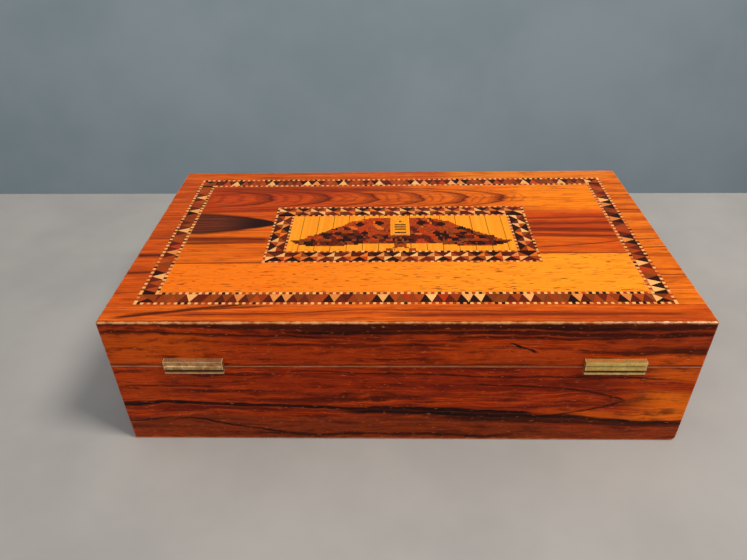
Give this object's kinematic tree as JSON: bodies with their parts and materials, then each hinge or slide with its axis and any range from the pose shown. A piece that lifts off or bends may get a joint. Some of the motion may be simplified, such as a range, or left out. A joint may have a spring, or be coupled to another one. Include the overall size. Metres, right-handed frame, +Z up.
{
  "type": "hinged inlaid wooden box",
  "caption": "Lidded rectangular box in veneered wood with inlaid bands and a mosaic panel on its hinged lid, closed by a small key lock.",
  "frame": {"origin": "centre of the underside, where the box stands", "axes": "+Z up, +X along the long side, +Y towards the hinges, so the lock and keyhole face -Y"},
  "size_m": [0.25, 0.1648, 0.069],
  "materials": {
    "rosewood_veneer": "french polish, glossy",
    "rim_facing": "french polish, satin",
    "carcase_wood": "bare, planed",
    "inlay_wood": "french polish, glossy",
    "lining": "matt coloured paper",
    "underside_paper": "matt paper",
    "hinge_brass": "aged",
    "hinge_pin_steel": "aged",
    "screw_brass": "aged",
    "lock_brass": "brushed, aged",
    "lock_steel": "brushed"
  },
  "bodies": {
    "base": {"base_front_veneer": "rosewood_veneer", "base_back_veneer": "rosewood_veneer", "base_left_veneer": "rosewood_veneer", "base_right_veneer": "rosewood_veneer", "base_rim_facing": "rim_facing", "bottom_board": "carcase_wood", "base_front_wall": "carcase_wood", "base_back_wall": "carcase_wood", "base_left_wall": "carcase_wood", "base_right_wall": "carcase_wood", "base_floor_lining": "lining", "base_wall_lining": "lining", "underside_paper": "underside_paper", "hinge_lower_leaf_left": "hinge_brass", "hinge_lower_leaf_right": "hinge_brass", "hinge_pin_left": "hinge_pin_steel", "hinge_pin_right": "hinge_pin_steel", "hinge_screws_base": "screw_brass", "lock_screws": "screw_brass", "lock_case": "lock_brass", "escutcheon": "lock_brass", "lock_drill_pin": "lock_steel"},
    "lid": {"lid_front_veneer": "rosewood_veneer", "lid_back_veneer": "rosewood_veneer", "lid_left_veneer": "rosewood_veneer", "lid_right_veneer": "rosewood_veneer", "top_field_veneer": "rosewood_veneer", "top_margin_front": "rosewood_veneer", "top_margin_back": "rosewood_veneer", "top_margin_left": "rosewood_veneer", "top_margin_right": "rosewood_veneer", "lid_rim_facing": "rim_facing", "lid_front_wall": "carcase_wood", "lid_back_wall": "carcase_wood", "lid_left_wall": "carcase_wood", "lid_right_wall": "carcase_wood", "lid_board": "carcase_wood", "vandyke_band_front": "inlay_wood", "vandyke_band_back": "inlay_wood", "vandyke_band_left": "inlay_wood", "vandyke_band_right": "inlay_wood", "panel_band_front": "inlay_wood", "panel_band_back": "inlay_wood", "panel_band_left": "inlay_wood", "panel_band_right": "inlay_wood", "mosaic_panel": "inlay_wood", "lid_ceiling_lining": "lining", "lid_wall_lining": "lining", "hinge_upper_leaf_left": "hinge_brass", "hinge_upper_leaf_right": "hinge_brass", "hinge_screws_lid": "screw_brass", "lock_link_plate": "lock_brass", "link_plate_screws": "screw_brass"},
    "bolt": {"lock_bolt": "lock_steel"},
    "key": {"key": "lock_steel"}
  },
  "joints": [
    {"name": "lid_hinge", "type": "hinge", "parent": "base", "child": "lid", "pos_m": [0, 0.0719, 0.0462], "axis": [-1, 0, 0], "range_deg": [0, 97]},
    {"name": "key_turn", "type": "hinge", "parent": "base", "child": "key", "pos_m": [0, -0.071, 0.03355], "axis": [0, 1, 0], "range_deg": [0, 90]},
    {"name": "lock_bolt_slide", "type": "slide", "parent": "base", "child": "bolt", "axis": [1, 0, 0], "range_m": [0, 0.004]}
  ],
  "couplings": [
    {"joint": "key_turn", "follows": "lock_bolt_slide", "rad_per_m": 392.7}
  ]
}
